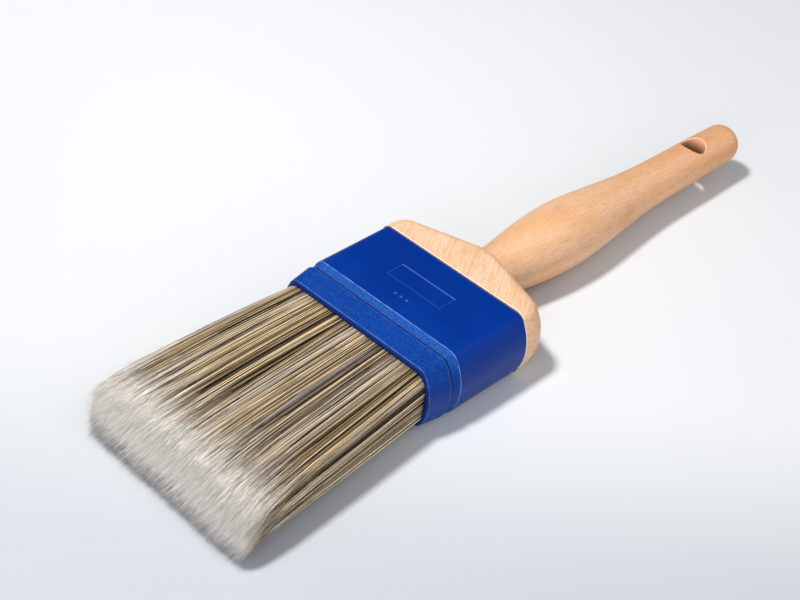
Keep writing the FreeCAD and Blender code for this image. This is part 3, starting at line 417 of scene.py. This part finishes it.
def section(s, a, b):
    """A place in the pack: s along it, a and b from -1 to 1 across its width and thickness, with rounded corners."""
    t = (s - LIP) / (REACH - LIP)
    t1 = np.clip(t, -0.15, 1.05)
    hump = np.sin(np.pi * np.clip(t, 0, 1))
    half_w = 31.95 + 6.05 * t1 + 0.45 * hump
    top = 10.0 - 4.35 * t1 + 0.35 * hump - 2.8 * np.clip((s - (REACH - 15.0)) / 15.0, 0, 1.1) ** 2
    top = top - 3.8 * smooth((0.35 - a) / 1.3) * np.clip((s - (REACH - 34.0)) / 34.0, 0, 1.1) ** 1.6     # flatter towards its near corner
    low = -10.0 + 1.65 * t1 - 0.15 * hump - 2.3 * np.clip((s - (REACH - 22.0)) / 22.0, 0, 1.1) ** 2
    half_h, mid_h = (top - low) / 2, (top + low) / 2
    mid_w = -1.45 * np.clip(t, 0, 1) ** 1.3
    r = 5.3 - 1.2 * np.clip(t, 0, 1)
    y, z = a * half_w, b * half_h
    over_y, over_z = np.abs(y) - (half_w - r), np.abs(z) - (half_h - r)
    corner = (over_y > 0) & (over_z > 0)
    length = np.sqrt(np.maximum(over_y, 1e-9) ** 2 + np.maximum(over_z, 1e-9) ** 2)
    pull = np.where(corner, np.maximum(over_y, over_z) / length, 1.0)
    y = np.where(corner, np.sign(y) * ((half_w - r) + over_y * pull), y)
    z = np.where(corner, np.sign(z) * ((half_h - r) + over_z * pull), z)
    return y + mid_w, z + mid_h


def tubes(paths, radii, tints, sides=3):
    """Vertices, faces and colours of many thin round bars: paths (n, k, 3), radii (n, k), tints (n, k, 3). Each ends in a point."""
    n, k, _ = paths.shape
    along = np.gradient(paths, axis=1)
    along /= np.linalg.norm(along, axis=2, keepdims=True) + 1e-12
    up = np.zeros_like(along)
    up[..., 2] = 1
    side = np.cross(along, up)
    side /= np.linalg.norm(side, axis=2, keepdims=True) + 1e-12
    up = np.cross(side, along)
    start = rng.uniform(0, 2 * np.pi, (n, 1, 1))
    angle = start + np.arange(sides)[None, None, :] * 2 * np.pi / sides
    ring = paths[:, :, None, :] + radii[:, :, None, None] * (np.cos(angle)[..., None] * side[:, :, None, :] + np.sin(angle)[..., None] * up[:, :, None, :])
    ring = ring[:, :-1]                                   # the last station is the point
    vertices = np.concatenate([ring.reshape(n, -1, 3), paths[:, -1:, :]], axis=1)
    per = (k - 1) * sides + 1
    colours = np.concatenate([np.repeat(tints[:, :-1, None, :], sides, axis=2).reshape(n, -1, 3), tints[:, -1:, :]], axis=1)
    quads, tris = [], []
    for i in range(k - 2):
        for j in range(sides):
            j2 = (j + 1) % sides
            quads.append((i * sides + j, (i + 1) * sides + j, (i + 1) * sides + j2, i * sides + j2))
    last = (k - 2) * sides
    for j in range(sides):
        tris.append((last + j, per - 1, last + (j + 1) % sides))
    tris.append(tuple(range(sides))) if sides == 3 else quads.append(tuple(range(sides)))
    base = (np.arange(n) * per)[:, None, None]
    quads = (np.array(quads)[None] + base).reshape(-1, 4) if quads else np.zeros((0, 4), int)
    tris = (np.array(tris)[None] + base).reshape(-1, 3)
    return vertices.reshape(-1, 3), quads, tris, colours.reshape(-1, 3)


def mesh_piece(name, parts, material):
    """One mesh object from several (vertices, quads, triangles, colours), in millimetres."""
    offset, vs, qs, ts, cs = 0, [], [], [], []
    for v, q, t, c in parts:
        vs.append(v)
        qs.append(q + offset)
        ts.append(t + offset)
        cs.append(c)
        offset += len(v)
    v, q, t, c = np.concatenate(vs), np.concatenate(qs), np.concatenate(ts), np.concatenate(cs)
    mesh = bpy.data.meshes.new(name)
    mesh.vertices.add(len(v))
    mesh.vertices.foreach_set("co", (v * MM).astype(np.float32).ravel())
    mesh.loops.add(len(q) * 4 + len(t) * 3)
    mesh.polygons.add(len(q) + len(t))
    mesh.loops.foreach_set("vertex_index", np.concatenate([q.ravel(), t.ravel()]).astype(np.int32))
    starts = np.concatenate([np.arange(len(q)) * 4, len(q) * 4 + np.arange(len(t)) * 3]).astype(np.int32)
    mesh.polygons.foreach_set("loop_start", starts)
    mesh.update(calc_edges=True)
    mesh.polygons.foreach_set("use_smooth", np.ones(len(mesh.polygons), bool))
    tint = mesh.attributes.new("tint", "FLOAT_COLOR", "POINT")
    tint.data.foreach_set("color", np.concatenate([c, np.ones((len(c), 1))], axis=1).astype(np.float32).ravel())
    mesh.validate()
    o = bpy.data.objects.new(name, mesh)
    bpy.context.scene.collection.objects.link(o)
    mesh.materials.append(material)
    return o


DYES = np.array([
    [0.026, 0.015, 0.006],   # dark brown
    [0.112, 0.066, 0.028],   # brown
    [0.262, 0.190, 0.112],   # taupe
    [0.400, 0.280, 0.125],   # golden
    [0.715, 0.580, 0.385],   # cream
    [0.345, 0.308, 0.292],   # cool grey
])
SHARE = np.array([0.31, 0.19, 0.19, 0.09, 0.14, 0.08])
PALE = np.array([0.950, 0.915, 0.870])


class Locks:
    """The filaments of one face cling together in locks, each with its own dyes, lean and depth, and in thinner bundles inside a lock."""

    def __init__(self, count, bundles, relief=1.0):
        edges = np.sort(rng.uniform(-1.03, 1.03, count - 1))
        self.edges = np.concatenate([[-1.06], edges, [1.06]])
        self.mix = rng.dirichlet(SHARE * 7.0, count)
        self.bright = np.exp(rng.normal(0, 0.17, count))
        self.depth = np.abs(rng.normal(0, 0.24, count)) * relief
        self.lean = rng.normal(0, 0.006, count)
        self.wave = rng.normal(0, 0.30, count)
        self.phase = rng.uniform(0, 2 * np.pi, count)
        self.pale = rng.normal(0, 3.4, count)
        self.bundles = bundles
        middle = -1.06 + 2.12 * (np.arange(bundles) + 0.5) / bundles
        home = np.clip(np.searchsorted(self.edges, middle) - 1, 0, count - 1)
        self.bundle_dye = dye_of(self.mix[home], bundles)
        self.bundle_bright = np.exp(rng.normal(0, 0.43, bundles))
        self.bundle_depth = np.abs(rng.normal(0, 0.16, bundles)) + np.where(rng.uniform(size=bundles) < 0.13, rng.uniform(0.4, 0.9, bundles), 0) * relief
        self.bundle_pale = rng.normal(0, 4.6, bundles)
        self.bundle_lean = rng.normal(0, 0.004, bundles)

    def of(self, a):
        i = np.clip(np.searchsorted(self.edges, a) - 1, 0, len(self.bright) - 1)
        low, high = self.edges[i], self.edges[i + 1]
        centre = (low + high) / 2
        inside = np.clip((a - centre) / np.maximum((high - low) / 2, 1e-3), -1, 1)
        return i, centre, inside, (high - low) / 2

    def bundle(self, a):
        return np.clip(((a + 1.06) / 2.12 * self.bundles).astype(int), 0, self.bundles - 1)


def dye_of(mix_rows, count):
    roll = rng.uniform(size=(count, 1))
    return (np.cumsum(mix_rows, axis=1) < roll * 0.9999).sum(axis=1)


def faces_strands(count, side, stations, locks, radius):
    """Full-length filaments near one face of the pack. side is top, low, far or near."""
    across = rng.uniform(-1, 1, count)
    i, centre, inside, half = locks.of(across)
    c = locks.bundle(across)
    loose = rng.uniform(size=count) < 0.05                 # a few lie across the others
    depth = rng.exponential(0.36, count)
    depth = np.minimum(depth, 1.7) + locks.depth[i] * 0.9 + locks.bundle_depth[c] + 0.40 * np.abs(inside) ** 3
    depth[loose] = rng.uniform(-0.10, 0.12, loose.sum())
    s0 = 40.0
    u = np.linspace(0, 1, stations)[None, :]
    drift = rng.normal(0, 0.0035, count) + locks.lean[i] + locks.bundle_lean[c]
    drift[loose] += rng.normal(0, 0.024, loose.sum())
    gather = -0.30 * inside * half * rng.uniform(0.4, 1.0, count)       # towards the middle of the lock
    if side in ("top", "low"):
        a = across[:, None] + drift[:, None] * u + gather[:, None] * np.sin(np.pi * np.clip(u * 1.15, 0, 1)) ** 1.2
        a = np.clip(a, -1.012, 1.012)
        b = None
    else:
        b = across[:, None] * 0.96 + 3.2 * drift[:, None] * u + gather[:, None] * np.sin(np.pi * u)
        b = np.clip(b, -1.0, 1.0)
        a = None
    end_y, _ = section(np.full(count, REACH), a[:, -1] if a is not None else np.full(count, 1.0 if side == "far" else -1.0), np.zeros(count))
    reach = tip_line(end_y) + rng.normal(0, 0.75, count) - 0.35 * np.maximum(depth, 0)
    reach -= set_back(across if b is not None else np.full(count, 1.0 if side == "top" else -1.0))
    reach -= np.where(rng.uniform(size=count) < 0.10, rng.uniform(0, 7, count), 0)
    s = s0 + (reach[:, None] - s0) * u
    settle = 0.4 + 0.6 * smooth((s - LIP) / 14)             # near the mouth the wall presses them level
    d = depth[:, None] * settle
    if side == "top":
        y, z = section(s, a, 1 - d / 9.5)
    elif side == "low":
        y, z = section(s, a, -1 + d / 9.5)
    elif side == "far":
        y, z = section(s, 1 - d / 34, b)
    else:
        y, z = section(s, -1 + d / 34, b)
    lift = 0.16 * locks.wave[i][:, None] * np.sin(2 * np.pi * u * 0.9 + locks.phase[i][:, None]) * smooth((s - LIP) / 20)
    wander = np.cumsum(rng.normal(0, 0.040, (count, stations)), axis=1) * smooth((s - LIP) / 10)
    wander2 = np.cumsum(rng.normal(0, 0.035, (count, stations)), axis=1) * smooth((s - LIP) / 10)
    if side in ("top", "low"):
        y = y + wander + 0.8 * lift
        z = z + wander2 * 0.7 + lift * 0.6
    else:
        z = z + wander * 0.8
        y = y + wander2 * 0.7 + lift * 0.5
    paths = np.stack([RIM - s, y, z + MID], axis=2)
    r = radius * rng.uniform(0.8, 1.15, count)[:, None] * (1 - 0.62 * smooth((s - (reach[:, None] - 24)) / 24))
    dye = np.where(rng.uniform(size=count) < 0.70, locks.bundle_dye[c], dye_of(locks.mix[i], count))
    dye[loose] = rng.choice([2, 3, 4, 5], loose.sum(), p=[0.2, 0.2, 0.45, 0.15])
    # painted shade: the top face's filaments are toned darker (0.71) than those of the other faces (0.84)
    shade = (0.71 if side == "top" else 0.84) * locks.bright[i] * locks.bundle_bright[c] * np.exp(rng.normal(0, 0.22, count))
    shade[loose] = 1.15
    root = DYES[dye] * np.clip(shade, 0.45, 1.7)[:, None]
    start = np.minimum(reach - 12.0 + locks.pale[i] + locks.bundle_pale[c] + rng.normal(0, 2.4, count), reach - 3.0)
    start += {"near": 7.0, "top": 6.0 * smooth((-across - 0.50) / 0.45)}.get(side, 0.0)     # the near corner stays brown for longest
    start = np.minimum(start, reach - 2.5)
    width = rng.uniform(5.0, 15.0, count)
    share = smooth((s - (start - width)[:, None]) / (1.6 * width)[:, None])
    grey = PALE * np.exp(-np.abs(rng.normal(0, 0.07, count)))[:, None]
    tint = root[:, None, :] * (1 - share[..., None]) + grey[:, None, :] * share[..., None]
    return paths, r, np.clip(tint, 0.01, 0.95)


def inner_tips(count, low_b, high_b, stations, radius, length=(9, 15), stray=0.16, ahead=0.0):
    """The ends of the filaments inside the pack, which make its end face."""
    a, b = rng.uniform(-1, 1, count), rng.uniform(low_b, high_b, count)
    end_y, _ = section(np.full(count, REACH), a, b)
    reach = tip_line(end_y) + rng.normal(ahead, 0.85 + ahead, count) - 1.2 * np.maximum(np.abs(b) - 0.55, 0) / 0.45 - set_back(b)
    u = np.linspace(0, 1, stations)[None, :]
    s = reach[:, None] - rng.uniform(length[0], length[1], count)[:, None] * (1 - u)
    y, z = section(s, a[:, None] + rng.normal(0, 0.005, count)[:, None] * u, b[:, None] + rng.normal(0, 0.030, count)[:, None] * u)
    y = y + rng.normal(0, stray, (count, stations)) * u
    z = z + rng.normal(0, stray, (count, stations)) * u
    paths = np.stack([RIM - s, y, z + MID], axis=2)
    r = radius * rng.uniform(0.75, 1.1, count)[:, None] * (1 - 0.65 * u)
    painted_shade_low = np.clip((-0.12 - b) / 0.80, 0, 1)               # painted shade: the lower ends are greyer and cooler, with more dark ones among them
    tone = np.exp(-np.abs(rng.normal(0, 0.07, count))) * (1.0 - 0.42 * painted_shade_low)
    ends = np.where(rng.uniform(size=count) < 0.02 + 0.36 * painted_shade_low, 0.24, 1.0)
    cool = np.array([0.90, 0.93, 1.0])[None, :] * painted_shade_low[:, None] + (1 - painted_shade_low)[:, None]
    tint = (PALE[None, :] * cool * (tone * ends)[:, None])[:, None, :] * (0.93 + 0.07 * u[..., None])
    return paths, r, np.clip(tint, 0.01, 0.9)


def flags(count, side, stations, radius, fringe=0.16, spread=(5.5, 20.0), stray=0.22, pale=(10, 24)):
    """The split ends of the outer filaments: fine pale fibrils that stand a little away from the pack."""
    across = rng.uniform(-1, 1, count)
    if side in ("top", "low"):
        a, b = across, np.full(count, 1.0 if side == "top" else -1.0)
    else:
        a, b = np.full(count, 1.0 if side == "far" else -1.0), across
    end_y, _ = section(np.full(count, REACH), a, b)
    u = np.linspace(0, 1, stations)[None, :]
    back = np.minimum(rng.exponential(spread[0], count), spread[1])
    reach = tip_line(end_y) + rng.normal(0.3, 1.05, count) - back + 1.3 * smooth((end_y - 22) / 12) - set_back(b) * rng.uniform(0.1, 1.0, count)
    s = reach[:, None] - rng.uniform(9, 20, count)[:, None] * (1 - u)
    depth = np.abs(rng.normal(0, 0.34, count))
    out = (rng.normal({"far": 0.35, "low": 0.70}.get(side, 0.10), fringe, count) + np.where(rng.uniform(size=count) < 0.12, rng.exponential(1.4 * fringe, count), 0))[:, None] * u ** 1.6
    lean = rng.normal(0, stray, count)[:, None] * u ** 1.4
    if side in ("top", "low"):
        sign = 1.0 if side == "top" else -1.0
        y, z = section(s, a[:, None] * np.ones_like(u), sign * (1 - depth[:, None] / 7.5))
        y, z = y + lean, z + sign * out
    else:
        sign = 1.0 if side == "far" else -1.0
        y, z = section(s, sign * (1 - depth[:, None] / 38), b[:, None] * np.ones_like(u))
        y, z = y + sign * out, z + lean * 0.6
    z = np.maximum(z, 0.10 - MID)                           # none goes through the table
    paths = np.stack([RIM - s, y, z + MID], axis=2)
    r = radius * rng.uniform(0.7, 1.1, count)[:, None] * (1 - 0.5 * u)
    tone = np.exp(-np.abs(rng.normal(0, 0.10, count)))
    # painted shade on the underside: a third of the lower fibrils are dark
    if side == "low":
        dark = rng.uniform(size=count) < 0.34
        tone = np.where(dark, 0.26, tone)
        r = r * np.where(dark, 1.55, 1.0)[:, None]
    share = smooth((s - (reach[:, None] + back[:, None] - rng.uniform(pale[0], pale[1], count)[:, None])) / 10)
    under = DYES[rng.choice(6, count, p=SHARE)] * 1.1
    # painted shade: the lower fibrils' pale ends are greyer and cooler
    top_colour = PALE if side != "low" else PALE * np.array([0.68, 0.71, 0.77])
    tint = under[:, None, :] * (1 - share[..., None]) + (top_colour * tone[:, None])[:, None, :] * share[..., None]
    return paths, r, np.clip(tint, 0.01, 0.95)


def strays(count, stations, radius):
    """A few filaments that have sprung out of line."""
    a, b = rng.uniform(-1, 1, count), np.where(rng.uniform(size=count) < 0.7, 1.0, -1.0)
    a = np.where(rng.uniform(size=count) < 0.35, np.sign(rng.normal(size=count)) * 1.0, a)
    end_y, _ = section(np.full(count, REACH), a, b)
    reach = tip_line(end_y) - rng.uniform(0, 9, count)
    u = np.linspace(0, 1, stations)[None, :]
    s = 56.0 + (reach[:, None] - 56.0) * u
    y, z = section(s, a[:, None] * np.ones_like(u), b[:, None] * np.ones_like(u))
    y = y + (np.where(np.abs(a) > 0.99, np.sign(a), 0) * rng.uniform(0.2, 1.3, count))[:, None] * u ** 2.2 + rng.normal(0, 0.9, count)[:, None] * u ** 1.5
    z = z + np.sign(b)[:, None] * (0.12 + rng.uniform(0.0, 0.8, count)[:, None] * u ** 2.4)
    paths = np.stack([RIM - s, y, z + MID], axis=2)
    r = radius * (1 - 0.6 * u) * np.ones((count, 1))
    root = DYES[rng.choice([2, 3, 4, 5], count)] * 1.1
    share = smooth((s - 104) / 14)
    tint = root[:, None, :] * (1 - share[..., None]) + PALE[None, None, :] * share[..., None]
    return paths, r, np.clip(tint, 0.01, 0.95)


def core(low_b, high_b, sink):
    """One row of packed filaments below the outer ones: a closed body with a fluted, fibrous skin, from the resin nearly to the tips."""
    around, stations = 260, 34
    s = np.concatenate([np.linspace(19.0, 44.0, 7), np.linspace(47.0, REACH - 4.5, stations - 7)])
    turn_ = np.linspace(0, 4, around, endpoint=False)
    a = np.select([turn_ < 1, turn_ < 2, turn_ < 3], [-1 + 2 * turn_, np.ones(around), 1 - 2 * (turn_ - 2)], -np.ones(around))
    b = np.select([turn_ < 1, turn_ < 2, turn_ < 3], [np.ones(around), 1 - 2 * (turn_ - 1), -np.ones(around)], -1 + 2 * (turn_ - 3))
    middle, half = (low_b + high_b) / 2, (high_b - low_b) / 2
    flute = rng.normal(0, 1, around)
    flute = (flute + np.roll(flute, 1) * 0.5) * 0.09
    rows = []
    for value in s:
        bb = middle + b * half
        aa = a
        inset = sink if value > 44 else 2.0
        bb = np.clip(bb, -1 + (inset + flute) / 9.0, 1 - (inset + flute) / 9.0)
        y, z = section(np.full(around, value), aa * (1 - (inset + np.abs(flute)) / 34), bb)
        at = np.minimum(value, tip_line(y) - 6.0 - set_back(middle + b * half) - 1.6 * np.abs(middle + b * half) ** 3 + (value - s[-1]) * 0.05)
        y, z = section(at, aa * (1 - (inset + np.abs(flute)) / 34), bb)
        rows.append(np.stack([RIM - at, y, z + MID], axis=1))
    ends = [rows[0].mean(axis=0), rows[-1].mean(axis=0)]
    v = np.concatenate(rows + [np.array(ends)])
    quads, tris = [], []
    for i in range(len(s) - 1):
        for j in range(around):
            j2 = (j + 1) % around
            quads.append((i * around + j, i * around + j2, (i + 1) * around + j2, (i + 1) * around + j))
    n = len(s) * around
    for j in range(around):
        j2 = (j + 1) % around
        tris.append((n, j2, j))
        tris.append((n + 1, (len(s) - 1) * around + j, (len(s) - 1) * around + j2))
    shade = np.exp(rng.normal(0, 0.35, around))
    # the core's dark brown is painted shade for the gaps between the outer filaments; it turns pale near the tips
    base = np.array([0.060, 0.042, 0.024])
    colours = []
    for value in s:
        t = smooth((value - 104) / 15)
        colours.append(base[None] * shade[:, None] * (1 - t) + np.array([0.70, 0.645, 0.58])[None] * t * shade[:, None] ** 0.35)
    colours = np.concatenate(colours + [np.array([base, [0.66, 0.63, 0.60]])])
    return v, np.array(quads), np.array(tris), colours


LONG = 10                                                   # stations along a full-length filament
top_locks, low_locks, far_locks, near_locks = Locks(74, 215), Locks(70, 200), Locks(17, 40, 0.4), Locks(17, 40, 0.4)

upper = mesh_piece("filaments_upper", [
    tubes(*faces_strands(2500, "top", LONG, top_locks, 0.140)),
    tubes(*inner_tips(2900, 0.33, 0.97, 4, 0.125)),
], filament_long)
middle = mesh_piece("filaments_middle", [
    tubes(*faces_strands(600, "far", LONG, far_locks, 0.140)),
    tubes(*faces_strands(600, "near", LONG, near_locks, 0.140)),
    tubes(*inner_tips(2900, -0.33, 0.33, 4, 0.125)),
], filament_long)
lower = mesh_piece("filaments_lower", [
    tubes(*faces_strands(2000, "low", LONG, low_locks, 0.140)),
    tubes(*inner_tips(2900, -0.97, -0.33, 4, 0.125)),
], filament_long)
flagged = mesh_piece("filament_flags", [
    tubes(*flags(6000, "top", 4, 0.060)),
    tubes(*flags(3000, "far", 4, 0.046, 0.60, (15.0, 42.0), 0.4)),
    tubes(*flags(1300, "near", 4, 0.052, 0.34, (6.0, 24.0), 0.35, (4, 12))),
    tubes(*strays(40, 9, 0.070)),
], filament_long)
flagged_low = mesh_piece("filament_flags_lower", [tubes(*flags(4600, "low", 4, 0.062, 0.75, (2.6, 12.0), 0.40)), tubes(*inner_tips(6200, -0.98, 0.98, 4, 0.062, (8, 16), 0.10, 0.6))], filament_long)
core_upper = mesh_piece("filament_core_upper", [core(0.34, 1.0, 1.35)], filament_core)
core_middle = mesh_piece("filament_core_middle", [core(-0.32, 0.32, 1.35)], filament_core)
core_lower = mesh_piece("filament_core_lower", [core(-1.0, -0.34, 1.35)], filament_core)

for piece in (upper, middle, lower, flagged, flagged_low, core_upper, core_middle, core_lower):
    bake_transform(piece)
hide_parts("bristle_roots_upper")
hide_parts("bristle_roots_middle")
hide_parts("bristle_roots_lower")
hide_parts("bristle_row_upper")
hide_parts("bristle_row_middle")
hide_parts("bristle_row_lower")


# ---------------------------------------------------------------- floor

floor_mesh = bpy.data.meshes.new("floor")
steps = 24
points, faces = [], []
for i in range(steps + 1):
    for j in range(steps + 1):
        points.append(((i / steps - 0.5) * 12, (j / steps - 0.5) * 12, -0.00005))
for i in range(steps):
    for j in range(steps):
        k = i * (steps + 1) + j
        faces.append((k, k + steps + 1, k + steps + 2, k + 1))
floor_mesh.from_pydata(points, [], faces)
floor = bpy.data.objects.new("floor", floor_mesh)
bpy.context.scene.collection.objects.link(floor)
p = Paint("studio_paper")
x, y, z = p.axes()
towards = p.math("ADD", p.math("MULTIPLY", x, -0.76), p.math("MULTIPLY", y, -0.65))   # metres towards the front of the table
away_x, away_y = p.math("ADD", x, 0.252), p.math("SUBTRACT", y, 0.190)
away = p.math("SQRT", p.math("ADD", p.math("MULTIPLY", away_x, away_x), p.math("MULTIPLY", away_y, away_y)))   # metres from below the lamp
tooth = p.noise(p.scaled(1, 1, 1), 900.0, 3.0, 0.6)
# painted light on the paper: paler away from the lamp, to even out its pool of light
paper = p.mix(p.ramp(away, 0.10, 0.36), (0.580, 0.596, 0.612), (0.664, 0.682, 0.704))
# painted shade: the paper darker towards the front
paper = p.mix(p.ramp(towards, 0.030, 0.140), paper, (0.468, 0.496, 0.536))
floor_mesh.materials.append(p.set(colour=paper, roughness=p.ramp(tooth, 0.3, 0.7, 0.80, 0.92), specular=0.12, normal=p.bump(tooth, 0.02 * MM, 0.3)))
